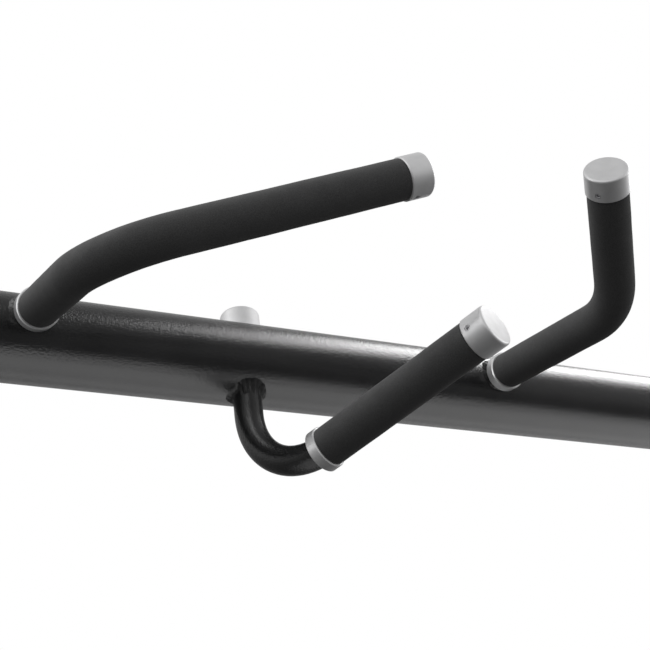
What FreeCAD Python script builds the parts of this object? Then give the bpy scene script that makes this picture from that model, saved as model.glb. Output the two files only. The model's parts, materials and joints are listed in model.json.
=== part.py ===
"""A multi-grip pull-up bar: a heavy round crossbar with flanged ends and three bent handles.

Frame: millimetres, +Z up, +X along the crossbar, -Y towards the person who hangs from it.
The origin is the centre of the left end plate's outer face.

Two handles leave the front of the crossbar, one bent through about a right angle and one
through about half of that.  The third is a hook: its tube passes through the crossbar, comes
out below and bends forward and up.  Each handle has a foam grip between an aluminium collar
and an aluminium end cap, which a set screw holds on the tube.
"""
import FreeCAD, Part
import math
import os
import Sketcher
from FreeCAD import Placement, Rotation, Vector

DIMENSIONS = {
    "crossbar": {
        "bar_length": 1100,
        "bar_diameter": 76.2,
        "bar_wall": 3,
    },
    "end plates": {
        "plate_size": 120,
        "plate_thickness": 8,
        "plate_corner": 12,
        "plate_edge": 1,
        "bolt_pitch": 90,
        "bolt_hole": 11,
        "end_bead": 5,
        "end_bead_lip": 0.4,
    },
    "handle tube": {
        "tube_diameter": 25.4,
        "tube_wall": 2.5,
        "saddle_width": 3.2,
        "saddle_height": 3.4,
    },
    "grip, collar and cap": {
        "grip_start": 48,
        "grip_diameter": 34,
        "sleeve_bore": 25.6,
        "collar_diameter": 37,
        "collar_width": 9.5,
        "recess_diameter": 33,
        "recess_depth": 4.5,
        "cap_diameter": 36,
        "cap_height": 21,
        "cap_wall": 5,
        "cap_round": 2.2,
        "edge_break": 0.8,
    },
    "set screw": {
        "screw_diameter": 5,
        "screw_hole": 5.1,
        "screw_length": 4.9,
        "screw_key": 2.5,
        "screw_key_depth": 2.4,
        "screw_setback": 6.5,
    },
    "wide handle": {
        "wide_root": 322,
        "wide_height": 15.8,
        "wide_lift": 0,
        "wide_reach": 205,
        "wide_bend": 85,
        "wide_bend_radius": 70,
        "wide_roll": 21,
        "wide_leg": 273.2,
        "wide_screw_angle": -10,
    },
    "angled handle": {
        "angled_root": 778,
        "angled_height": 8,
        "angled_lift": 6.6,
        "angled_reach": 212.2,
        "angled_bend": 47,
        "angled_bend_radius": 75,
        "angled_roll": 42.7,
        "angled_leg": 145.1,
        "angled_screw_angle": -25,
    },
    "hook handle": {
        "hook_root": 520,
        "hook_forward": 7,
        "hook_lean": 21.5,
        "hook_tilt": 3,
        "hook_depth": 140.3,
        "hook_bend": 96.9,
        "hook_bend_radius": 73.1,
        "hook_swing": 22.1,
        "hook_grip_start": 84.5,
        "hook_leg": 260.3,
        "hook_bead_width": 5.5,
        "hook_bead_height": 6,
        "hook_screw_angle": -97,
        "stub_rise": 43.7,
        "top_cap_rise": 49.3,
    },
}

AXIS_X = Vector(1, 0, 0)
AXIS_Z = Vector(0, 0, 1)
NEAR = 0.01

doc = FreeCAD.newDocument("PullUpBar")
sheet = doc.addObject("Spreadsheet::Sheet", "Sheet")
sub_parts = []


def fill_sheet():
    row = 1
    for group, values in DIMENSIONS.items():
        sheet.set("A%d" % row, group)
        row += 1
        for alias, value in values.items():
            sheet.set("A%d" % row, alias)
            sheet.set("B%d" % row, str(value))
            sheet.setAlias("B%d" % row, alias)
            row += 1
    doc.recompute()


def size(alias):
    """A driving dimension, read from the sheet."""
    return float(sheet.get(alias))


def value_of(formula):
    """The present value of a formula over the sheet's aliases."""
    return float(sheet.evalExpression(formula.replace("Sheet.", "")))


def keep(feature, label):
    """Mark a finished sub-part: its label is its node's name."""
    feature.Label = label
    sub_parts.append(feature)
    return feature


# Frames --------------------------------------------------------------------------------------

def frame(origin, x_dir, y_dir):
    """A placement with its X along x_dir and its Y as near y_dir as a right angle allows."""
    z_dir = x_dir.cross(y_dir)
    return Placement(origin, Rotation(x_dir, z_dir.cross(x_dir), z_dir, "XZY"))


def handle_frame(root, lead, side, up, roll):
    """The frame of a bent handle: X along its first leg, XY its bend plane.

    The bend plane holds `lead` and is turned by `roll` degrees from `side` towards `up`.
    """
    angle = math.radians(roll)
    return frame(root, lead, side * math.cos(angle) + up * math.sin(angle))


def leg_frame(handle, bend, run, along):
    """A frame on a handle's second leg: Z along the leg, at `along` from the bend's corner."""
    angle = math.radians(bend)
    direction = Vector(math.cos(angle), math.sin(angle), 0)
    corner = Vector(run, 0, 0)
    local = frame(corner + direction * along, AXIS_Z, Vector(-direction.y, direction.x, 0))
    local.Rotation = Rotation(AXIS_Z, Vector(), direction, "ZXY")
    return handle.multiply(local)


def facing_down(placement, angle):
    """Turn a leg's frame about its own Z until its X points down, then on by `angle`."""
    leg = placement.Rotation.multVec(AXIS_Z)
    down = Vector(0, 0, -1)
    down = (down - leg * down.dot(leg)).normalize()
    turned = Rotation(down, leg.cross(down), leg, "ZXY")
    return Placement(placement.Base, turned.multiply(Rotation(AXIS_Z, angle)))


# Sketches and bodies -------------------------------------------------------------------------

def origin_plane(body, role):
    for feature in body.Origin.OriginFeatures:
        if feature.Role == role:
            return feature
    raise ValueError("no origin plane " + role)


def add_sketch(body, name, role):
    sketch = body.newObject("Sketcher::SketchObject", name)
    sketch.AttachmentSupport = [(origin_plane(body, role), "")]
    sketch.MapMode = "FlatFace"
    return sketch


def bind(sketch, constraint, name, formula):
    """Add a dimension to a sketch and drive it from the sheet."""
    index = sketch.addConstraint(constraint)
    sketch.renameConstraint(index, name)
    sketch.setExpression("Constraints." + name, formula)


def add_circles(sketch, radii):
    """Circles about the sketch's origin; radii maps a name to a formula."""
    for name, formula in radii.items():
        radius = value_of(formula)
        circle = sketch.addGeometry(Part.Circle(Vector(), AXIS_Z, radius), False)
        sketch.addConstraint(Sketcher.Constraint("Coincident", circle, 3, -1, 1))
        bind(sketch, Sketcher.Constraint("Radius", circle, radius), name, formula)


def add_pad(body, sketch, formula):
    pad = body.newObject("PartDesign::Pad", body.Name + "_pad")
    pad.Profile = sketch
    pad.setExpression("Length", formula)
    doc.recompute()
    return pad


def circle_edges(shape, radius, height=None):
    """Names of a shape's circular edges of one radius, at one height along local Z."""
    names = []
    for index, edge in enumerate(shape.Edges, 1):
        curve = edge.Curve
        if not isinstance(curve, Part.Circle) or abs(curve.Radius - radius) > NEAR:
            continue
        if height is None or abs(curve.Center.z - height) < NEAR:
            names.append("Edge%d" % index)
    return names


def dress(body, kind, base, edges, prop, formula):
    """A fillet or chamfer on named edges of the feature before it."""
    feature = body.newObject("PartDesign::" + kind, body.Name + "_" + kind.lower())
    feature.Base = (base, edges)
    feature.setExpression(prop, formula)
    doc.recompute()
    return feature


def add_cylinder(name, radius, height, placement):
    cylinder = doc.addObject("Part::Cylinder", name)
    cylinder.setExpression("Radius", radius)
    cylinder.setExpression("Height", height)
    cylinder.Placement = placement
    return cylinder


def add_cut(name, base, tool):
    cut = doc.addObject("Part::Cut", name)
    cut.Base = base
    cut.Tool = tool
    return cut


def add_common(name, base, tool):
    common = doc.addObject("Part::Common", name)
    common.Base = base
    common.Tool = tool
    return common


# Crossbar and its ends -----------------------------------------------------------------------

def along_bar(x):
    """A frame on the crossbar's axis whose Z points along the crossbar."""
    return Placement(Vector(x, 0, 0), Rotation(Vector(0, 1, 0), 90))


def make_crossbar(stem_frame):
    body = doc.addObject("PartDesign::Body", "bar_blank")
    ring = add_sketch(body, "bar_section", "XY_Plane")
    add_circles(ring, {
        "outside": "Sheet.bar_diameter / 2",
        "inside": "Sheet.bar_diameter / 2 - Sheet.bar_wall",
    })
    add_pad(body, ring, "Sheet.bar_length - 2 * Sheet.plate_thickness")
    body.Placement = along_bar(size("plate_thickness"))
    bore = add_cylinder("stem_bore", "Sheet.sleeve_bore / 2", "2 * Sheet.bar_diameter", stem_frame)
    keep(add_cut("crossbar", body, bore), "crossbar_tube")


def make_end_plate(side, placement):
    """A square plate with rounded corners and four bolt holes, lying on its inner face."""
    body = doc.addObject("PartDesign::Body", side + "_plate")
    outline = add_sketch(body, side + "_plate_outline", "XY_Plane")
    half = size("plate_size") / 2
    corners = [Vector(-half, -half), Vector(half, -half), Vector(half, half), Vector(-half, half)]
    for start, end in zip(corners, corners[1:] + corners[:1]):
        outline.addGeometry(Part.LineSegment(start, end), False)
    for line in range(4):
        outline.addConstraint(Sketcher.Constraint("Coincident", line, 2, (line + 1) % 4, 1))
        direction = "Horizontal" if line % 2 == 0 else "Vertical"
        outline.addConstraint(Sketcher.Constraint(direction, line))
    outline.addConstraint(Sketcher.Constraint("Symmetric", 0, 1, 1, 2, -1, 1))
    bind(outline, Sketcher.Constraint("DistanceX", 0, 1, 0, 2, 2 * half), "width", "Sheet.plate_size")
    bind(outline, Sketcher.Constraint("DistanceY", 1, 1, 1, 2, 2 * half), "depth", "Sheet.plate_size")
    pad = add_pad(body, outline, "Sheet.plate_thickness")

    upright = []
    for index, edge in enumerate(pad.Shape.Edges, 1):
        if abs(edge.Vertexes[0].Z - edge.Vertexes[-1].Z) > 1:
            upright.append("Edge%d" % index)
    dress(body, "Fillet", pad, upright, "Radius", "Sheet.plate_corner")

    holes = add_sketch(body, side + "_bolt_holes", "XY_Plane")
    offset = size("bolt_pitch") / 2
    for index, (u, v) in enumerate([(-1, -1), (1, -1), (1, 1), (-1, 1)]):
        centre = Vector(u * offset, v * offset)
        circle = holes.addGeometry(Part.Circle(centre, AXIS_Z, size("bolt_hole") / 2), False)
        bind(holes, Sketcher.Constraint("Radius", circle, size("bolt_hole") / 2),
             "hole%d" % index, "Sheet.bolt_hole / 2")
        outward = (-1, 1, circle, 3)
        inward = (circle, 3, -1, 1)
        across = outward if u > 0 else inward
        upward = outward if v > 0 else inward
        bind(holes, Sketcher.Constraint("DistanceX", *across, offset),
             "across%d" % index, "Sheet.bolt_pitch / 2")
        bind(holes, Sketcher.Constraint("DistanceY", *upward, offset),
             "up%d" % index, "Sheet.bolt_pitch / 2")
    pocket = body.newObject("PartDesign::Pocket", side + "_bolt_pocket")
    pocket.Profile = holes
    pocket.Type = "ThroughAll"
    pocket.Reversed = True
    doc.recompute()

    rim = []
    for index, edge in enumerate(pocket.Shape.Edges, 1):
        on_top = all(abs(vertex.Z - size("plate_thickness")) < NEAR for vertex in edge.Vertexes)
        is_hole = isinstance(edge.Curve, Part.Circle) and edge.Curve.Radius < size("bolt_hole")
        if on_top and not is_hole and len(edge.Vertexes) == 2:
            rim.append("Edge%d" % index)
    dress(body, "Chamfer", pocket, rim, "Size", "Sheet.plate_edge")
    body.Placement = placement
    keep(body, side + "_end_plate")


def make_end_weld(side, placement):
    """The fillet weld between the crossbar's end and its plate: a ring of triangular section."""
    cone = doc.addObject("Part::Cone", side + "_weld_cone")
    cone.setExpression("Radius1", "Sheet.bar_diameter / 2 + Sheet.end_bead")
    cone.setExpression("Radius2", "Sheet.bar_diameter / 2 + Sheet.end_bead_lip")
    cone.setExpression("Height", "Sheet.end_bead")
    cone.Placement = placement
    core = add_cylinder(side + "_weld_core", "Sheet.bar_diameter / 2", "Sheet.bar_length", placement)
    keep(add_cut(side + "_weld", cone, core), side + "_end_weld")


# Handles -------------------------------------------------------------------------------------

def add_path(body, name, start, run, bend, radius, leg):
    """A path in the bend plane: straight, arc, straight.

    `start` is where it begins on the first leg, `run` the distance from the frame's origin to
    the corner where the two legs would meet, and `leg` the distance from there to its end.
    All are formulas.
    """
    sketch = add_sketch(body, name, "XY_Plane")
    setback = "%s * tan(%s / 2)" % (radius, bend)
    values = [value_of(formula) for formula in (start, run, bend, radius, leg)]
    begin, corner, turn, arc_radius, reach = values
    turn = math.radians(turn)
    tangent = arc_radius * math.tan(turn / 2)
    direction = Vector(math.cos(turn), math.sin(turn), 0)
    bend_start = Vector(corner - tangent, 0, 0)
    bend_end = Vector(corner, 0, 0) + direction * tangent
    centre = bend_start + Vector(0, arc_radius, 0)
    circle = Part.Circle(centre, AXIS_Z, arc_radius)

    first = sketch.addGeometry(Part.LineSegment(Vector(begin, 0, 0), bend_start), False)
    arc = sketch.addGeometry(
        Part.ArcOfCircle(circle, -math.pi / 2, turn - math.pi / 2), False)
    last = sketch.addGeometry(
        Part.LineSegment(bend_end, Vector(corner, 0, 0) + direction * reach), False)
    sketch.addConstraint(Sketcher.Constraint("Horizontal", first))
    sketch.addConstraint(Sketcher.Constraint("Tangent", first, 2, arc, 1))
    sketch.addConstraint(Sketcher.Constraint("Tangent", arc, 2, last, 1))
    if begin == 0:
        sketch.addConstraint(Sketcher.Constraint("Coincident", first, 1, -1, 1))
    else:
        sketch.addConstraint(Sketcher.Constraint("PointOnObject", first, 1, -1))
        bind(sketch, Sketcher.Constraint("DistanceX", -1, 1, first, 1, begin), "start", start)
    bind(sketch, Sketcher.Constraint("Radius", arc, arc_radius), "radius", radius)
    bind(sketch, Sketcher.Constraint("Angle", last, turn), "bend", "(%s) * 1 deg" % bend)
    bind(sketch, Sketcher.Constraint("Distance", first, corner - tangent - begin), "first_leg",
         "%s - (%s) - %s" % (run, start, setback))
    bind(sketch, Sketcher.Constraint("Distance", last, reach - tangent), "last_leg",
         "%s - %s" % (leg, setback))
    return sketch


def make_bent_sleeve(name, placement, radii, start, run, bend, radius, leg):
    """A round hollow section swept along a bent path."""
    body = doc.addObject("PartDesign::Body", name)
    path = add_path(body, name + "_path", start, run, bend, radius, leg)
    section = add_sketch(body, name + "_section", "YZ_Plane")
    section.AttachmentOffset = Placement(Vector(0, 0, value_of(start)), Rotation())
    section.setExpression("AttachmentOffset.Base.z", start)
    add_circles(section, radii)
    doc.recompute()
    pipe = body.newObject("PartDesign::AdditivePipe", name + "_pipe")
    pipe.Profile = section
    pipe.Spine = (path, ["Edge1", "Edge2", "Edge3"])
    body.Placement = placement
    return body


TUBE_RADII = {
    "outside": "Sheet.tube_diameter / 2",
    "inside": "Sheet.tube_diameter / 2 - Sheet.tube_wall",
}
GRIP_RADII = {
    "outside": "Sheet.grip_diameter / 2",
    "inside": "Sheet.sleeve_bore / 2",
}
# A front handle's tube starts inside the crossbar's envelope, and is coped where it leaves it
INSIDE_BAR = "Sheet.bar_diameter / 4"


def add_recess(body, name, diameter, depth):
    """A round pocket sunk into the face that stands on the body's origin."""
    outline = add_sketch(body, name + "_outline", "XY_Plane")
    add_circles(outline, {"wall": diameter + " / 2"})
    pocket = body.newObject("PartDesign::Pocket", name)
    pocket.Profile = outline
    pocket.Reversed = True
    pocket.setExpression("Length", depth)
    doc.recompute()
    return pocket


def make_straight_grip(name, placement, length):
    body = doc.addObject("PartDesign::Body", name + "_grip_body")
    section = add_sketch(body, name + "_grip_section", "XY_Plane")
    add_circles(section, GRIP_RADII)
    add_pad(body, section, length)
    body.Placement = placement
    keep(body, name + "_grip")


def make_collar(name, placement):
    """A chamfered ring, recessed at the back so that it clears the weld behind it."""
    body = doc.addObject("PartDesign::Body", name + "_collar_ring")
    section = add_sketch(body, name + "_collar_section", "XY_Plane")
    outside = "Sheet.collar_diameter / 2"
    add_circles(section, {"outside": outside, "inside": "Sheet.sleeve_bore / 2"})
    add_pad(body, section, "Sheet.collar_width")
    recess = add_recess(body, name + "_collar_recess", "Sheet.recess_diameter",
                        "Sheet.recess_depth")
    edges = circle_edges(recess.Shape, value_of(outside))
    dress(body, "Chamfer", recess, edges, "Size", "Sheet.edge_break")
    body.Placement = placement
    keep(body, name + "_collar")


def make_cap_blank(name, height, placement):
    """A cup with a rounded rim, open towards the grip."""
    body = doc.addObject("PartDesign::Body", name)
    disc = add_sketch(body, name + "_disc", "XY_Plane")
    add_circles(disc, {"outside": "Sheet.cap_diameter / 2"})
    add_pad(body, disc, height)
    pocket = add_recess(body, name + "_bore", "Sheet.sleeve_bore", height + " - Sheet.cap_wall")
    radius = size("cap_diameter") / 2
    nose = circle_edges(pocket.Shape, radius, value_of(height))
    rounded = dress(body, "Fillet", pocket, nose, "Radius", "Sheet.cap_round")
    mouth = circle_edges(rounded.Shape, radius, 0)
    dress(body, "Chamfer", rounded, mouth, "Size", "Sheet.edge_break")
    body.Placement = placement
    return body


def make_end_cap(name, placement):
    """An end cap with its radial set screw, which points along the frame's X."""
    blank = make_cap_blank(name + "_cap_blank", "Sheet.cap_height", placement)
    outward = Placement(Vector(0, 0, size("screw_setback")), Rotation(Vector(0, 1, 0), 90))
    hole = add_cylinder(name + "_screw_hole", "Sheet.screw_hole / 2", "Sheet.cap_diameter",
                        placement.multiply(outward))
    keep(add_cut(name + "_cap", blank, hole), name + "_end_cap")

    seat = Placement(Vector(size("sleeve_bore") / 2, 0, size("screw_setback")), outward.Rotation)
    shank = add_cylinder(name + "_screw_shank", "Sheet.screw_diameter / 2", "Sheet.screw_length",
                         placement.multiply(seat))
    key = doc.addObject("Part::Prism", name + "_screw_key")
    key.Polygon = 6
    key.setExpression("Circumradius", "Sheet.screw_key / sqrt(3)")
    key.setExpression("Height", "Sheet.screw_length")
    lift = Vector(size("screw_length") - size("screw_key_depth"), 0, 0)
    key.Placement = placement.multiply(Placement(seat.Base + lift, seat.Rotation))
    keep(add_cut(name + "_screw", shank, key), name + "_cap_screw")


def make_saddle_weld(name, root, lead, width, height):
    """The weld where a handle's tube meets the crossbar, following the crossbar's surface."""
    outward = Rotation(Vector(), Vector(), lead, "ZXY")
    reach = "Sheet.bar_diameter"
    outside = add_cylinder(name + "_weld_outside", "Sheet.tube_diameter / 2 + " + width,
                           reach, Placement(root, outward))
    core = add_cylinder(name + "_weld_inside", "Sheet.tube_diameter / 2", reach,
                        Placement(root, outward))
    skin = add_cylinder(name + "_weld_skin", "Sheet.bar_diameter / 2 + " + height,
                        "Sheet.bar_length", along_bar(0))
    bead = add_common(name + "_weld_common", outside, skin)
    shell = add_cut(name + "_weld_shell", bead, bar_envelope)
    keep(add_cut(name + "_weld", shell, core), name + "_root_weld")


def make_front_handle(name, side):
    """A handle that is coped and welded to the front of the crossbar and bends towards `side`."""
    lift = math.radians(size(name + "_lift"))
    lead = Vector(0, -math.cos(lift), math.sin(lift))
    up = Vector(0, math.sin(lift), math.cos(lift))
    root = Vector(size(name + "_root"), 0, size(name + "_height"))
    handle = handle_frame(root, lead, side, up, size(name + "_roll"))
    run, bend, radius, leg = (
        "Sheet.%s_%s" % (name, part) for part in ("reach", "bend", "bend_radius", "leg"))

    tube = make_bent_sleeve(name + "_tube_blank", handle, TUBE_RADII, INSIDE_BAR, run, bend,
                            radius, leg + " - Sheet.cap_wall")
    keep(add_cut(name + "_tube", tube, bar_envelope), name + "_handle_tube")
    grip = make_bent_sleeve(name + "_grip_body", handle, GRIP_RADII, "Sheet.grip_start",
                            run, bend, radius, leg + " - Sheet.cap_height")
    keep(grip, name + "_grip")

    collar_back = root + lead * (size("grip_start") - size("collar_width"))
    make_collar(name, Placement(collar_back, Rotation(Vector(), Vector(), lead, "ZXY")))
    cap_start = size(name + "_leg") - size("cap_height")
    cap = leg_frame(handle, size(name + "_bend"), size(name + "_reach"), cap_start)
    make_end_cap(name, facing_down(cap, size(name + "_screw_angle")))
    make_saddle_weld(name, root, lead, "Sheet.saddle_width", "Sheet.saddle_height")


def make_hook_handle(root, lead, forward):
    """The hook: a tube through the crossbar that bends forward and up below it."""
    top = root - lead * size("stub_rise")
    handle = handle_frame(top, lead, forward, AXIS_X, size("hook_swing"))
    run = "(Sheet.stub_rise + Sheet.hook_depth)"
    tube = make_bent_sleeve("hook_tube_body", handle, TUBE_RADII, "0", run, "Sheet.hook_bend",
                            "Sheet.hook_bend_radius", "Sheet.hook_leg - Sheet.cap_wall")
    keep(tube, "hook_handle_tube")

    def on_leg(along):
        return leg_frame(handle, size("hook_bend"), value_of(run), along)

    start = size("hook_grip_start")
    make_collar("hook", on_leg(start - size("collar_width")))
    make_straight_grip("hook", on_leg(start),
                       "Sheet.hook_leg - Sheet.hook_grip_start - Sheet.cap_height")
    cap = on_leg(size("hook_leg") - size("cap_height"))
    make_end_cap("hook", facing_down(cap, size("hook_screw_angle")))
    make_saddle_weld("hook", root, lead, "Sheet.hook_bead_width", "Sheet.hook_bead_height")

    upward = Placement(root, Rotation(Vector(), Vector(), lead * -1, "ZXY"))
    blank = make_cap_blank("top_cap_blank", "Sheet.top_cap_rise", upward)
    keep(add_cut("top_cap", blank, bar_envelope), "hook_top_cap")


# Assembly ------------------------------------------------------------------------------------

fill_sheet()
bar_envelope = add_cylinder("bar_envelope", "Sheet.bar_diameter / 2", "Sheet.bar_length",
                            along_bar(0))

lean_angle = math.radians(size("hook_lean"))
tilt_angle = math.radians(size("hook_tilt"))
stem_down = Vector(0, -math.sin(lean_angle), -math.cos(lean_angle))
stem = stem_down * math.cos(tilt_angle) - AXIS_X * math.sin(tilt_angle)
stem_forward = Vector(0, -math.cos(lean_angle), math.sin(lean_angle))
stem_root = Vector(size("hook_root"), 0, 0) + stem_forward * size("hook_forward")
make_crossbar(Placement(stem_root - stem * size("bar_diameter"),
                        Rotation(Vector(), Vector(), stem, "ZXY")))

left_inner = along_bar(size("plate_thickness"))
right_inner = along_bar(size("bar_length") - size("plate_thickness"))
flipped = Placement(Vector(), Rotation(AXIS_X, 180))
make_end_plate("left", left_inner.multiply(flipped))
make_end_plate("right", right_inner)
make_end_weld("left", left_inner)
make_end_weld("right", right_inner.multiply(flipped))

make_front_handle("wide", AXIS_X)
make_front_handle("angled", AXIS_X * -1)
make_hook_handle(stem_root, stem, stem_forward)

doc.recompute()
for item in doc.Objects:
    if "Invalid" in item.State or "Error" in item.State:
        raise RuntimeError("%s failed: %s" % (item.Label, item.State))
for item in sub_parts:
    if item.Shape.isNull() or not item.Shape.isValid() or not item.Shape.Solids:
        raise RuntimeError(item.Label + " has no valid solid")

os.makedirs("parts", exist_ok=True)
for item in sub_parts:
    item.Shape.exportStep("parts/%s.step" % item.Label)
    print("%-22s %d solid(s) %10.0f mm3" % (item.Label, len(item.Shape.Solids), item.Shape.Volume))
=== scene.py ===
"""The looks of a multi-grip pull-up bar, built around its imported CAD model.

Metres, +Z up, +X along the crossbar, -Y towards the user.
"""
import json
import math

import bpy
import bmesh
from mathutils import Matrix, Vector, noise


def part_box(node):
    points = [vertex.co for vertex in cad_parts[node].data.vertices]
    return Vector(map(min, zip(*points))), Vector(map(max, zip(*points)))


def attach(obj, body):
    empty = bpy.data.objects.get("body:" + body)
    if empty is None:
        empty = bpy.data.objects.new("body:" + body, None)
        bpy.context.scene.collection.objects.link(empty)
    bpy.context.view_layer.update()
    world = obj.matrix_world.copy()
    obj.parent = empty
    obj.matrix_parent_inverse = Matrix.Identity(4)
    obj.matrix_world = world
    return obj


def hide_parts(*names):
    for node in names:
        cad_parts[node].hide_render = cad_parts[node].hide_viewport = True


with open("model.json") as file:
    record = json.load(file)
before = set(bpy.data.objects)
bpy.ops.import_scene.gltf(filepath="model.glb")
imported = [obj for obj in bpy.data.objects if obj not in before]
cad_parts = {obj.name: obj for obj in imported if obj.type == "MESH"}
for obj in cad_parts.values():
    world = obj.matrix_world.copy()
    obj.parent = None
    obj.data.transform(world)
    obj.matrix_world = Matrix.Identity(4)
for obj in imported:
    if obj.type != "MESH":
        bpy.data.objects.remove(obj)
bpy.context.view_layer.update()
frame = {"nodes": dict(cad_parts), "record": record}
nodes = frame["nodes"]

MM = 0.001
X_AXIS = Vector((1, 0, 0))
Y_AXIS = Vector((0, 1, 0))
Z_AXIS = Vector((0, 0, 1))

# Sizes that follow the CAD parts
BAR_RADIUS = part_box("crossbar_tube")[1][2]
TUBE_RADIUS = 12.7 * MM
BORE_RADIUS = 12.8 * MM
GRIP_RADIUS = 17 * MM
CAP_HEIGHT = 21 * MM
GRIP_START = 48 * MM

ANGLED_LIFT = math.radians(6.6)
ANGLED_FORWARD = Vector((0, -math.cos(ANGLED_LIFT), math.sin(ANGLED_LIFT)))
ANGLED_UP = Vector((0, math.sin(ANGLED_LIFT), math.cos(ANGLED_LIFT)))

HOOK_LEAN = math.radians(21.5)
HOOK_TILT = math.radians(3)
HOOK_FORWARD = Vector((0, -math.cos(HOOK_LEAN), math.sin(HOOK_LEAN)))
HOOK_DOWN = Vector((0, -math.sin(HOOK_LEAN), -math.cos(HOOK_LEAN)))
# In millimetres: ahead of the crossbar's axis, down to the bend's corner, and on to the grip
HOOK_OFFSET = 7
HOOK_REACH = 140.3
HOOK_BARE_LEG = 84.5


def towards(side, up, roll):
    """The direction `roll` degrees round from `side` to `up`."""
    return side * math.cos(math.radians(roll)) + up * math.sin(math.radians(roll))


# Each handle's tube starts inside the crossbar at `root` and leaves along `lead`. It runs `reach`
# to the corner of its bend, turns by `bend` degrees with `bend_radius`, and ends `leg` beyond the
# corner. `towards` is where the second leg points, seen along the first one. The grip starts
# `grip_start` from the root, measured along the legs and round the corner. The set screw is
# turned by `screw_angle` degrees from underneath.
HANDLES = {
    "wide": {
        "root": Vector((322, 0, 15.8)) * MM,
        "lead": -Y_AXIS,
        "towards": towards(X_AXIS, Z_AXIS, 21),
        "reach": 205 * MM,
        "bend": 85,
        "bend_radius": 70 * MM,
        "leg": 273.2 * MM,
        "grip_start": GRIP_START,
        "screw_angle": -10,
    },
    "angled": {
        "root": Vector((778, 0, 8)) * MM,
        "lead": ANGLED_FORWARD,
        "towards": towards(-X_AXIS, ANGLED_UP, 42.7),
        "reach": 212.2 * MM,
        "bend": 47,
        "bend_radius": 75 * MM,
        "leg": 145.1 * MM,
        "grip_start": GRIP_START,
        "screw_angle": -25,
    },
    "hook": {
        "root": (Vector((520, 0, 0)) + HOOK_FORWARD * HOOK_OFFSET) * MM,
        "lead": HOOK_DOWN * math.cos(HOOK_TILT) - X_AXIS * math.sin(HOOK_TILT),
        "towards": towards(HOOK_FORWARD, X_AXIS, 22.1),
        "reach": HOOK_REACH * MM,
        "bend": 96.9,
        "bend_radius": 73.1 * MM,
        "leg": 260.3 * MM,
        "grip_start": (HOOK_REACH + HOOK_BARE_LEG) * MM,
        "screw_angle": -97,
    },
}


# Paths ---------------------------------------------------------------------------------------

def square_to(axis, vector):
    """The unit vector at right angles to `axis` that is nearest to `vector`."""
    return (vector - axis * axis.dot(vector)).normalized()


class BentPath:
    """A straight, an arc and a straight, all in one plane, measured by distance along it."""

    def __init__(self, spec):
        self.root = spec["root"]
        self.lead = spec["lead"].normalized()
        self.inward = square_to(self.lead, spec["towards"])
        self.across = self.lead.cross(self.inward)
        self.reach = spec["reach"]
        self.bend = math.radians(spec["bend"])
        self.radius = spec["bend_radius"]
        setback = self.radius * math.tan(self.bend / 2)
        self.first = self.reach - setback
        self.arc = self.radius * self.bend
        self.length = self.first + self.arc + spec["leg"] - setback
        self.centre = self.root + self.lead * self.first + self.inward * self.radius
        # How much longer the way round the corner is than the arc that rounds it off
        self.corner_extra = 2 * setback - self.arc

    def at(self, distance):
        """(point, tangent) at a distance along the path."""
        if distance <= self.first:
            return self.root + self.lead * distance, self.lead
        angle = min((distance - self.first) / self.radius, self.bend)
        tangent = self.lead * math.cos(angle) + self.inward * math.sin(angle)
        outward = self.lead * math.sin(angle) - self.inward * math.cos(angle)
        point = self.centre + outward * self.radius
        beyond = distance - self.first - self.arc
        if beyond > 0:
            point = point + tangent * beyond
        return point, tangent

    def along(self, drawn):
        """Distance along the path of a place on a straight leg, from its way round the corner."""
        if drawn <= self.reach:
            return drawn
        return drawn - self.corner_extra


def axis_frame(origin, x_dir, z_dir):
    """A matrix whose Z is z_dir and whose X is x_dir."""
    y_dir = z_dir.cross(x_dir)
    matrix = Matrix((x_dir, y_dir, z_dir)).transposed().to_4x4()
    matrix.translation = origin
    return matrix


# Meshes --------------------------------------------------------------------------------------

def loft(name, rings, material, sharp, closed=False):
    """A smooth skin over rings of equal count; a ring of one point is a pole.

    Edges steeper than `sharp` degrees stay sharp. `closed` joins the last ring to the first.
    """
    verts = []
    starts = []
    for ring in rings:
        starts.append(len(verts))
        verts.extend(ring)
    pairs = [(i, i + 1) for i in range(len(rings) - 1)]
    if closed:
        pairs.append((len(rings) - 1, 0))
    faces = []
    for low, high in pairs:
        a, b = starts[low], starts[high]
        count_a, count_b = len(rings[low]), len(rings[high])
        count = max(count_a, count_b)
        for i in range(count):
            j = (i + 1) % count
            if count_a == 1:
                faces.append((a, b + j, b + i))
            elif count_b == 1:
                faces.append((a + i, a + j, b))
            else:
                faces.append((a + i, a + j, b + j, b + i))
    mesh = bpy.data.meshes.new(name)
    mesh.from_pydata([tuple(v) for v in verts], [], faces)
    mesh.validate()
    work = bmesh.new()
    work.from_mesh(mesh)
    bmesh.ops.recalc_face_normals(work, faces=work.faces)
    work.to_mesh(mesh)
    work.free()
    mesh.shade_smooth()
    mesh.set_sharp_from_angle(angle=math.radians(sharp))
    mesh.materials.append(material)
    piece = bpy.data.objects.new(name, mesh)
    bpy.context.scene.collection.objects.link(piece)
    return piece


def finish_piece(piece, slot, *replaced):
    """Tie a piece to the body and hide the CAD parts it stands in for. Its material slot is not
    used.
    """
    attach(piece, "root")
    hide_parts(*replaced)


# Materials -----------------------------------------------------------------------------------

# Noise values nearly all lie between these two
NOISE_LOW = 0.3
NOISE_HIGH = 0.7


def new_material(name):
    material = bpy.data.materials.new(name)
    material.use_nodes = True
    tree = material.node_tree
    shader = tree.nodes["Principled BSDF"]
    place = tree.nodes.new("ShaderNodeTexCoord").outputs["Object"]
    return material, tree, shader, place


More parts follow.
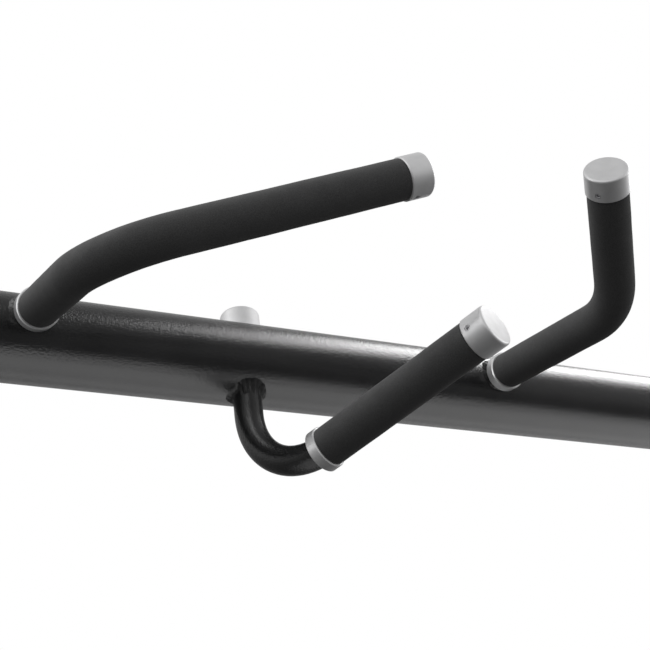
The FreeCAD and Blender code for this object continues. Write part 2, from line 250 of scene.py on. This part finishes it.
def add_noise(tree, place, size, detail, rough=0.5):
    """Noise whose grain is about `size` metres."""
    node = tree.nodes.new("ShaderNodeTexNoise")
    node.inputs["Scale"].default_value = 1 / size
    node.inputs["Detail"].default_value = detail
    node.inputs["Roughness"].default_value = rough
    tree.links.new(place, node.inputs["Vector"])
    return node.outputs["Fac"]


def add_range(tree, value, low, high, from_low=NOISE_LOW, from_high=NOISE_HIGH):
    node = tree.nodes.new("ShaderNodeMapRange")
    node.inputs["From Min"].default_value = from_low
    node.inputs["From Max"].default_value = from_high
    node.inputs["To Min"].default_value = low
    node.inputs["To Max"].default_value = high
    tree.links.new(value, node.inputs["Value"])
    return node.outputs["Result"]


def add_colours(tree, value, low, high):
    node = tree.nodes.new("ShaderNodeValToRGB")
    node.color_ramp.elements[0].position = NOISE_LOW
    node.color_ramp.elements[1].position = NOISE_HIGH
    node.color_ramp.elements[0].color = (*low, 1)
    node.color_ramp.elements[1].color = (*high, 1)
    tree.links.new(value, node.inputs["Fac"])
    return node.outputs["Color"]


def add_bump(tree, height, distance, after=None):
    """A bump `distance` metres high, on top of the bump `after` if there is one."""
    node = tree.nodes.new("ShaderNodeBump")
    node.inputs["Distance"].default_value = distance
    node.inputs["Strength"].default_value = 1.0
    tree.links.new(height, node.inputs["Height"])
    if after is not None:
        tree.links.new(after, node.inputs["Normal"])
    return node.outputs["Normal"]


def set_surface(tree, shader, colour, roughness, normal):
    tree.links.new(colour, shader.inputs["Base Color"])
    tree.links.new(roughness, shader.inputs["Roughness"])
    tree.links.new(normal, shader.inputs["Normal"])


def powder_coat():
    """Satin black powder coat: a fine orange peel that breaks up the highlights."""
    material, tree, shader, place = new_material("powder_coat_black")
    black, paler_black = (0.0055, 0.0055, 0.0057), (0.0080, 0.0080, 0.0083)
    cloud = add_noise(tree, place, size=40 * MM, detail=3)
    peel = add_noise(tree, place, size=1.75 * MM, detail=2, rough=0.6)
    swell = add_noise(tree, place, size=4 * MM, detail=1)
    swelling = add_bump(tree, swell, distance=0.05 * MM)
    set_surface(
        tree, shader,
        colour=add_colours(tree, cloud, low=black, high=paler_black),
        roughness=add_range(tree, cloud, low=0.19, high=0.23),
        normal=add_bump(tree, peel, distance=0.36 * MM, after=swelling),
    )
    shader.inputs["Specular IOR Level"].default_value = 0.3
    return material


def foam_rubber():
    """Matt black closed-cell foam with a fine skin grain."""
    material, tree, shader, place = new_material("foam_rubber_black")
    grain = add_noise(tree, place, size=0.7 * MM, detail=4, rough=0.65)
    mottle = add_noise(tree, place, size=14 * MM, detail=3)
    set_surface(
        tree, shader,
        colour=add_colours(tree, grain, low=(0.024, 0.024, 0.0245), high=(0.062, 0.062, 0.0625)),
        roughness=add_range(tree, mottle, low=0.72, high=0.86),
        normal=add_bump(tree, grain, distance=0.10 * MM),
    )
    shader.inputs["Specular IOR Level"].default_value = 0.35
    shader.inputs["Sheen Weight"].default_value = 0.06
    shader.inputs["Sheen Roughness"].default_value = 0.6
    return material


def anodised_aluminium():
    """Satin clear-anodised aluminium with a fine blasted grain."""
    material, tree, shader, place = new_material("anodised_aluminium_silver")
    cloud = add_noise(tree, place, size=9 * MM, detail=2)
    grain = add_noise(tree, place, size=0.35 * MM, detail=3, rough=0.6)
    set_surface(
        tree, shader,
        colour=add_colours(tree, cloud, low=(0.68, 0.68, 0.685), high=(0.74, 0.74, 0.745)),
        roughness=add_range(tree, grain, low=0.32, high=0.42),
        normal=add_bump(tree, grain, distance=0.02 * MM),
    )
    shader.inputs["Metallic"].default_value = 0.72
    return material


def screw_steel():
    """Bare steel of the set screws."""
    material, tree, shader, place = new_material("bare_steel")
    cloud = add_noise(tree, place, size=1.2 * MM, detail=3)
    set_surface(
        tree, shader,
        colour=add_colours(tree, cloud, low=(0.60, 0.60, 0.61), high=(0.70, 0.70, 0.71)),
        roughness=add_range(tree, cloud, low=0.28, high=0.45),
        normal=add_bump(tree, cloud, distance=0.02 * MM),
    )
    shader.inputs["Metallic"].default_value = 1.0
    return material


MATERIALS = {
    "powder_coat": powder_coat(),
    "foam_grip": foam_rubber(),
    "anodised_aluminium": anodised_aluminium(),
    "screw_steel": screw_steel(),
}


def dress_cad_nodes():
    """Give every CAD part the material of its slot."""
    for part in frame["record"]["subparts"]:
        mesh = nodes[part["node"]].data
        mesh.materials.clear()
        mesh.materials.append(MATERIALS[part["material_slot"]])


# Grips ---------------------------------------------------------------------------------------

GRIP_FACETS = 96
GRIP_STEP = 2 * MM
GRIP_EDGE = 1.1 * MM
GRIP_SHARP = 30
# The skin's unevenness: height and size of its broad swells and of its small ones
BROAD_SWELL, BROAD_SIZE = 0.16 * MM, 22 * MM
SMALL_SWELL, SMALL_SIZE = 0.05 * MM, 3.2 * MM


def make_grip(name, spec):
    """A foam sleeve on its tube, with soft rounded ends and a skin that is never quite true."""
    path = BentPath(spec)
    start = path.along(spec["grip_start"])
    end = path.length - CAP_HEIGHT
    quarter = [math.radians(15 * i) for i in range(7)]
    edge = [(GRIP_EDGE * (1 - math.sin(a)), -GRIP_EDGE * (1 - math.cos(a))) for a in quarter]
    steps = int((end - start) / GRIP_STEP)
    bore_steps = steps // 4
    bore = BORE_RADIUS - GRIP_RADIUS
    # (distance along the path, height above the grip's radius): out along the skin, back
    # through the bore
    stations = [(start + back, inset) for back, inset in reversed(edge)]
    stations += [(start + (end - start) * i / steps, 0.0) for i in range(1, steps)]
    stations += [(end - back, inset) for back, inset in edge]
    stations += [(end + (start - end) * i / bore_steps, bore) for i in range(bore_steps + 1)]
    rings = []
    for distance, inset in stations:
        point, tangent = path.at(distance)
        side = path.across
        up = tangent.cross(side)
        ring = []
        for i in range(GRIP_FACETS):
            angle = 2 * math.pi * i / GRIP_FACETS
            outward = side * math.cos(angle) + up * math.sin(angle)
            radius = GRIP_RADIUS + inset
            if inset > bore:
                here = point + outward * radius
                radius += BROAD_SWELL * noise.noise(here / BROAD_SIZE)
                radius += SMALL_SWELL * noise.noise(here / SMALL_SIZE)
            ring.append(point + outward * radius)
        rings.append(ring)
    piece = loft(name + "_foam_grip", rings, MATERIALS["foam_grip"], GRIP_SHARP, closed=True)
    finish_piece(piece, "foam_grip", name + "_grip")


# Welds ---------------------------------------------------------------------------------------

BEAD_FACETS = 9
BEAD_SHARP = 60
BEAD_SWELL = 0.16
BEAD_GRAIN_HEIGHT = 0.12 * MM
BEAD_GRAIN_SIZE = 1.6 * MM

# How far a bead's edges and its hidden root sink into the metal, so that no gap shows
EDGE_SINK = 0.1 * MM
TOE_SINK = 0.15 * MM
ROOT_SINK = 0.3 * MM

SADDLE_STATIONS = 420
SADDLE_RIPPLES = 22
SADDLE_RIDGE = 0.005
SADDLE_LUMPS = 0.22
BROAD_LUMPS = 1.6
FINE_LUMPS = 5.0
FINE_IN_WIDTH = 0.4
FINE_IN_HEIGHT = 0.5
SADDLE_BEADS = {
    "wide": {
        "width": 4.4 * MM, "height": 2.8 * MM,
        "left": 1.1, "front": 0.0, "crown": 0.3, "seed": 1.0,
    },
    "angled": {
        "width": 4.4 * MM, "height": 2.8 * MM,
        "left": 1.1, "front": 0.0, "crown": 0.3, "seed": 2.0,
    },
    "hook": {
        "width": 4.6 * MM, "height": 7.2 * MM,
        "left": 0.50, "front": 0.35, "crown": -0.9, "seed": 3.0,
    },
}

END_STATIONS = 540
END_RIPPLES = 60
END_RIDGE = 0.04
END_LEG = 4.8 * MM
END_WOBBLE = 0.08
END_WOBBLE_SCALE = 3.0
END_WOBBLE_SHIFT = 4.0
END_BULGE = 0.7


def ripple(turn, count):
    """Overlapping scallops round the bead, from -1 to 1."""
    phase = (turn * count) % 1.0
    return 2 * math.sin(math.pi * phase) - 1


def make_bead(name, stations, ripples, ridge, replaced):
    """A weld bead round a closed joint.

    Each station holds the ends of the bead's section on the wall and at its toe, a sunk root
    that closes the section, the way out of the corner, and how far the bead swells there.
    `ridge` is how far the ripples stand out.
    """
    rings = []
    for i, (wall, toe, root, corner_out, swell) in enumerate(stations):
        wave = ripple(i / len(stations), ripples)
        ring = [root]
        for k in range(BEAD_FACETS + 1):
            t = k / BEAD_FACETS
            bulge = math.sin(math.pi * t) * (ridge * wave + BEAD_SWELL * swell)
            point = wall.lerp(toe, t) + corner_out * bulge
            grain = noise.noise(point / BEAD_GRAIN_SIZE)
            rough = BEAD_GRAIN_HEIGHT * math.sin(math.pi * t) * grain
            ring.append(point + corner_out.normalized() * rough)
        rings.append(ring)
    piece = loft(name + "_weld_bead", rings, MATERIALS["powder_coat"], BEAD_SHARP, closed=True)
    finish_piece(piece, "powder_coat", replaced)


def make_saddle_bead(name, spec, width, height, left, front, crown, seed):
    """The lumpy bead where a handle's tube meets the crossbar.

    It is wider by `left` on its left side and climbs higher by `front` on the side of `up`. A
    `crown` above 0 makes it round, and below 0 hollow.
    """
    lead = spec["lead"].normalized()
    side = square_to(lead, X_AXIS)
    up = lead.cross(side)
    flat_lead = Vector((0, lead.y, lead.z))

    def surface(outward, radius):
        """Where the crossbar's surface lies, at a radius from the tube's axis."""
        base = spec["root"] + outward * radius
        a = flat_lead.length_squared
        b = base.dot(flat_lead)
        c = base.y ** 2 + base.z ** 2 - BAR_RADIUS ** 2
        return base + lead * ((math.sqrt(b * b - a * c) - b) / a)

    stations = []
    for i in range(SADDLE_STATIONS):
        angle = 2 * math.pi * i / SADDLE_STATIONS
        outward = side * math.cos(angle) + up * math.sin(angle)
        turn = Vector((math.cos(angle), math.sin(angle), seed))
        broad = noise.noise(turn * BROAD_LUMPS)
        fine = noise.noise(turn * FINE_LUMPS)
        leftward = max(0, -math.cos(angle)) ** 2
        upward = max(0, math.sin(angle)) ** 2
        width_lumps = SADDLE_LUMPS * (broad + FINE_IN_WIDTH * fine)
        height_lumps = SADDLE_LUMPS * (broad + FINE_IN_HEIGHT * fine)
        reach = width * (1 + width_lumps + left * leftward)
        rise = height * (1 + height_lumps + front * upward)
        toe = surface(outward, TUBE_RADIUS + reach)
        foot = surface(outward, TUBE_RADIUS)
        wall = foot + lead * rise - outward * EDGE_SINK
        into_bar = -Vector((0, toe.y, toe.z)).normalized() * TOE_SINK
        root = foot - outward * ROOT_SINK - lead * ROOT_SINK
        corner_out = outward * rise + lead * reach
        stations.append((wall, toe + into_bar, root, corner_out, crown + broad + fine))
    make_bead(name, stations, SADDLE_RIPPLES, SADDLE_RIDGE, name + "_root_weld")


def make_end_bead(side):
    """The bead between the crossbar's end and its plate."""
    low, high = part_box(side + "_end_weld")
    at = low[0] if side == "left" else high[0]
    inward = X_AXIS if side == "left" else -X_AXIS
    stations = []
    for i in range(END_STATIONS):
        angle = 2 * math.pi * i / END_STATIONS
        outward = Y_AXIS * math.cos(angle) + Z_AXIS * math.sin(angle)
        wobble = noise.noise(outward * END_WOBBLE_SCALE + inward * END_WOBBLE_SHIFT)
        size = END_LEG * (1 + END_WOBBLE * wobble)
        foot = Vector((at, 0, 0)) + outward * BAR_RADIUS
        wall = foot + inward * size - outward * EDGE_SINK
        toe = foot + outward * size - inward * EDGE_SINK
        root = foot - outward * ROOT_SINK
        corner_out = (outward + inward) * size * END_BULGE
        stations.append((wall, toe, root, corner_out, wobble))
    make_bead(side + "_end", stations, END_RIPPLES, END_RIDGE, side + "_end_weld")


# Set screws ----------------------------------------------------------------------------------

SCREW_FACETS = 48
SCREW_SHARP = 25
SCREW_FROM_GRIP = 6.5 * MM
SCREW_RADIUS = 2.5 * MM
SCREW_LENGTH = 4.9 * MM
SCREW_EDGE = 0.35 * MM
THREAD_ROOT = 2.15 * MM
THREAD_PITCH = 0.8 * MM
THREAD_CREST = 0.45
THREAD_START = 0.2 * MM
THREAD_END = 0.5 * MM
SOCKET_APOTHEM = 1.25 * MM
SOCKET_MOUTH = 1.12
SOCKET_CHAMFER = 0.2 * MM
SOCKET_DEPTH = 2.2 * MM
SOCKET_TIP = 2.8 * MM


def on_circle(matrix, radius, angle, height):
    return matrix @ Vector((radius * math.cos(angle), radius * math.sin(angle), height))


def circle_ring(matrix, radius, height):
    ring = []
    for i in range(SCREW_FACETS):
        angle = 2 * math.pi * i / SCREW_FACETS
        ring.append(on_circle(matrix, radius, angle, height))
    return ring


def hexagon_ring(matrix, apothem, height):
    """A hexagon with as many points as the screw's circles."""
    ring = []
    for i in range(SCREW_FACETS):
        angle = 2 * math.pi * i / SCREW_FACETS
        within = (angle % (math.pi / 3)) - math.pi / 6
        ring.append(on_circle(matrix, apothem / math.cos(within), angle, height))
    return ring


def make_screw(name, spec):
    """An M5 set screw with a chamfered end, a thread and a hexagon socket."""
    path = BentPath(spec)
    point, tangent = path.at(path.length - CAP_HEIGHT + SCREW_FROM_GRIP)
    down = square_to(tangent, -Z_AXIS)
    angle = math.radians(spec["screw_angle"])
    outward = down * math.cos(angle) + tangent.cross(down) * math.sin(angle)
    matrix = axis_frame(point + outward * BORE_RADIUS, tangent, outward)
    length = SCREW_LENGTH
    rings = [[matrix @ Vector((0, 0, 0))], circle_ring(matrix, THREAD_ROOT, 0)]
    height = THREAD_START
    while height < length - THREAD_END:
        rings.append(circle_ring(matrix, THREAD_ROOT, height))
        rings.append(circle_ring(matrix, SCREW_RADIUS, height + THREAD_PITCH * THREAD_CREST))
        height += THREAD_PITCH
    rings.append(circle_ring(matrix, SCREW_RADIUS, length - SCREW_EDGE))
    rings.append(circle_ring(matrix, THREAD_ROOT, length))
    rings.append(hexagon_ring(matrix, SOCKET_APOTHEM * SOCKET_MOUTH, length))
    rings.append(hexagon_ring(matrix, SOCKET_APOTHEM, length - SOCKET_CHAMFER))
    rings.append(hexagon_ring(matrix, SOCKET_APOTHEM, length - SOCKET_DEPTH))
    rings.append([matrix @ Vector((0, 0, length - SOCKET_TIP))])
    piece = loft(name + "_set_screw", rings, MATERIALS["screw_steel"], SCREW_SHARP)
    finish_piece(piece, "screw_steel", name + "_cap_screw")


# Studio --------------------------------------------------------------------------------------

FLOOR_SIZE = 60
FLOOR_CENTRE = (0.55, 0.5, -2.2)
FLOOR_GREY = 0.9
FLOOR_ROUGHNESS = 0.9

# The room's brightness from straight down (0) to straight up (1)
ROOM_STOPS = (
    (0.0, 0.13), (0.25, 0.18), (0.40, 0.30), (0.50, 0.50),
    (0.58, 0.80), (0.72, 0.95), (0.92, 1.0), (1.0, 1.0),
)
ROOM_MIDDLE = 0.62
ROOM_SIDES = 1.20
# The squared sideways part of a direction from which the room is at its brightest
ROOM_SIDES_FROM = 0.7

CAMERA_PLACE = Vector((0.0715, -1.0525, -0.2718))
CAMERA_YAW = math.radians(26.883)
CAMERA_PITCH = math.radians(15.170)
CAMERA_ROLL = math.radians(-0.206)
CAMERA_SENSOR = 36
CAMERA_LENS = 72
CAMERA_NEAR = 0.01
CAMERA_FAR = 50

# The photograph's paint, foam and metal don't agree on one set of lights, so each panel shines
# on one group of pieces: its name, centre, target, width, height, radiance and group
PANELS = (
    ("bar_floor_front", (1.4, -0.58, -1.0), (1.4, -0.58, 0), 4.2, 1.16, 3.0, "bar"),
    ("bar_floor_back", (1.4, 0.4, -1.0), (1.4, 0.4, 0), 4.2, 0.8, 1.9, "bar"),
    ("bar_floor_far", (1.4, 2.9, -1.0), (1.4, 2.9, 0), 6.0, 4.2, 0.55, "bar"),
    ("bar_key", (1.9, 0.22, 1.2), (0.9, 0, 0), 1.0, 1.1, 10.5, "bar"),
    ("bar_strip", (1.25, -0.24, 1.2), (0.6, 0, 0), 1.0, 0.42, 9.5, "bar"),
    ("tube_floor", (0.5, -0.4, -1.0), (0.5, -0.4, 0), 2.4, 1.6, 1.3, "tubes"),
    ("tube_key", (1.9, 0.35, 1.2), (0.9, 0, 0), 0.7, 0.7, 5.0, "tubes"),
    ("tube_strip", (0.05, -0.2, 1.2), (0.05, -0.2, 0), 0.25, 1.2, 4.5, "tubes"),
    ("metal_key", (1.8, 0.03, 0.82), (0.6, -0.2, 0), 1.0, 1.0, 1.55, "metal"),
    ("metal_fill", (-1.5, 0.6, 0.3), (0.5, -0.2, 0), 1.2, 1.2, 1.0, "metal"),
    ("collar_fill", (-0.9, -1.0, 0.1), (0.5, 0, 0), 0.8, 0.8, 3.5, "collars"),
    ("top_cap_left", (-1.5, 0.1, 0.35), (0.5, 0, 0), 0.5, 1.2, 5.0, "top_cap"),
    ("top_cap_right", (2.2, -0.9, 0.4), (0.5, 0, 0), 0.5, 1.2, 3.5, "top_cap"),
    ("foam_key", (-0.7, 0.5, 1.4), (0.5, -0.2, 0), 1.5, 1.5, 2.3, "foam"),
)


def make_floor():
    """A pale floor well below, which only the camera sees."""
    bpy.ops.mesh.primitive_plane_add(size=FLOOR_SIZE, location=FLOOR_CENTRE)
    floor = bpy.context.object
    floor.name = "studio_floor"
    material, _, shader, _ = new_material("pale_floor")
    shader.inputs["Base Color"].default_value = (FLOOR_GREY, FLOOR_GREY, FLOOR_GREY, 1)
    shader.inputs["Roughness"].default_value = FLOOR_ROUGHNESS
    floor.data.materials.append(material)
    floor.visible_glossy = False
    floor.visible_diffuse = False


def pieces_in(slot):
    """Every piece with the material of a slot."""
    return [
        piece for piece in bpy.data.objects
        if piece.type == "MESH" and piece.data.materials
        and piece.data.materials[0] == MATERIALS[slot]
    ]


def make_light_groups():
    """A collection for each group of pieces that has lights of its own."""
    top_cap = nodes["hook_top_cap"]
    coated = pieces_in("powder_coat")
    tubes = [piece for piece in coated if piece.name.endswith(("handle_tube", "weld_bead"))]
    members = {
        "bar": [piece for piece in coated if piece not in tubes],
        "tubes": tubes,
        "metal": [piece for piece in pieces_in("anodised_aluminium") if piece != top_cap],
        "collars": [nodes["wide_collar"], nodes["angled_collar"]],
        "top_cap": [top_cap],
        "foam": pieces_in("foam_grip"),
    }
    groups = {}
    for name, pieces in members.items():
        groups[name] = bpy.data.collections.new("lit_" + name)
        for piece in pieces:
            groups[name].objects.link(piece)
    return groups


def add_panel(name, centre, target, width, height, radiance, receivers):
    """A soft light panel of a given brightness, which shines on some pieces only."""
    light = bpy.data.lights.new(name, "AREA")
    light.shape = "RECTANGLE"
    light.size = width
    light.size_y = height
    light.energy = radiance * math.pi * width * height
    panel = bpy.data.objects.new(name, light)
    bpy.context.scene.collection.objects.link(panel)
    panel.location = centre
    aim = Vector(target) - Vector(centre)
    panel.rotation_euler = aim.to_track_quat("-Z", "Y").to_euler()
    panel.light_linking.receiver_collection = receivers


def make_world():
    """White where the camera looks past the object, and a room that lights the object.

    The room is bright above its horizon, brightest to the left and right, and dim below.
    """
    world = bpy.data.worlds.new("studio")
    bpy.context.scene.world = world
    world.use_nodes = True
    tree = world.node_tree
    tree.nodes.clear()
    place = tree.nodes.new("ShaderNodeTexCoord").outputs["Generated"]
    split = tree.nodes.new("ShaderNodeSeparateXYZ")
    tree.links.new(place, split.inputs["Vector"])
    height = add_range(tree, split.outputs["Z"], 0, 1, from_low=-1, from_high=1)
    ramp = tree.nodes.new("ShaderNodeValToRGB")
    while len(ramp.color_ramp.elements) < len(ROOM_STOPS):
        ramp.color_ramp.elements.new(0.5)
    for element, (position, level) in zip(ramp.color_ramp.elements, ROOM_STOPS):
        element.position = position
        element.color = (level, level, level, 1)
    tree.links.new(height, ramp.inputs["Fac"])
    square = tree.nodes.new("ShaderNodeMath")
    square.operation = "MULTIPLY"
    tree.links.new(split.outputs["X"], square.inputs[0])
    tree.links.new(split.outputs["X"], square.inputs[1])
    sides = add_range(tree, square.outputs["Value"], ROOM_MIDDLE, ROOM_SIDES,
                      from_low=0, from_high=ROOM_SIDES_FROM)
    room = tree.nodes.new("ShaderNodeBackground")
    tree.links.new(ramp.outputs["Color"], room.inputs["Color"])
    tree.links.new(sides, room.inputs["Strength"])
    backdrop = tree.nodes.new("ShaderNodeBackground")
    backdrop.inputs["Color"].default_value = (1, 1, 1, 1)
    backdrop.inputs["Strength"].default_value = 1.0
    path = tree.nodes.new("ShaderNodeLightPath")
    mix = tree.nodes.new("ShaderNodeMixShader")
    out = tree.nodes.new("ShaderNodeOutputWorld")
    tree.links.new(path.outputs["Is Camera Ray"], mix.inputs["Fac"])
    tree.links.new(room.outputs["Background"], mix.inputs[1])
    tree.links.new(backdrop.outputs["Background"], mix.inputs[2])
    tree.links.new(mix.outputs["Shader"], out.inputs["Surface"])


def make_camera():
    """A long lens below the crossbar, looking up and along it."""
    flat = Vector((math.sin(CAMERA_YAW), math.cos(CAMERA_YAW), 0))
    right = Vector((math.cos(CAMERA_YAW), -math.sin(CAMERA_YAW), 0))
    forward = flat * math.cos(CAMERA_PITCH) + Z_AXIS * math.sin(CAMERA_PITCH)
    up = Z_AXIS * math.cos(CAMERA_PITCH) - flat * math.sin(CAMERA_PITCH)
    turned_right = right * math.cos(CAMERA_ROLL) - up * math.sin(CAMERA_ROLL)
    turned_up = up * math.cos(CAMERA_ROLL) + right * math.sin(CAMERA_ROLL)
    data = bpy.data.cameras.new("camera")
    data.sensor_width = CAMERA_SENSOR
    data.lens = CAMERA_LENS
    data.clip_start = CAMERA_NEAR
    data.clip_end = CAMERA_FAR
    camera = bpy.data.objects.new("camera", data)
    matrix = Matrix((turned_right, turned_up, -forward)).transposed().to_4x4()
    matrix.translation = CAMERA_PLACE
    camera.matrix_world = matrix
    bpy.context.scene.collection.objects.link(camera)
    bpy.context.scene.camera = camera


# Assembly ------------------------------------------------------------------------------------

dress_cad_nodes()
for handle_name, handle_spec in HANDLES.items():
    make_grip(handle_name, handle_spec)
    make_screw(handle_name, handle_spec)
for handle_name, bead_shape in SADDLE_BEADS.items():
    make_saddle_bead(handle_name, HANDLES[handle_name], **bead_shape)
make_end_bead("left")
make_end_bead("right")

make_floor()
make_world()
make_camera()
light_groups = make_light_groups()
for *panel_shape, group_name in PANELS:
    add_panel(*panel_shape, light_groups[group_name])
bpy.context.scene.view_settings.view_transform = "Standard"
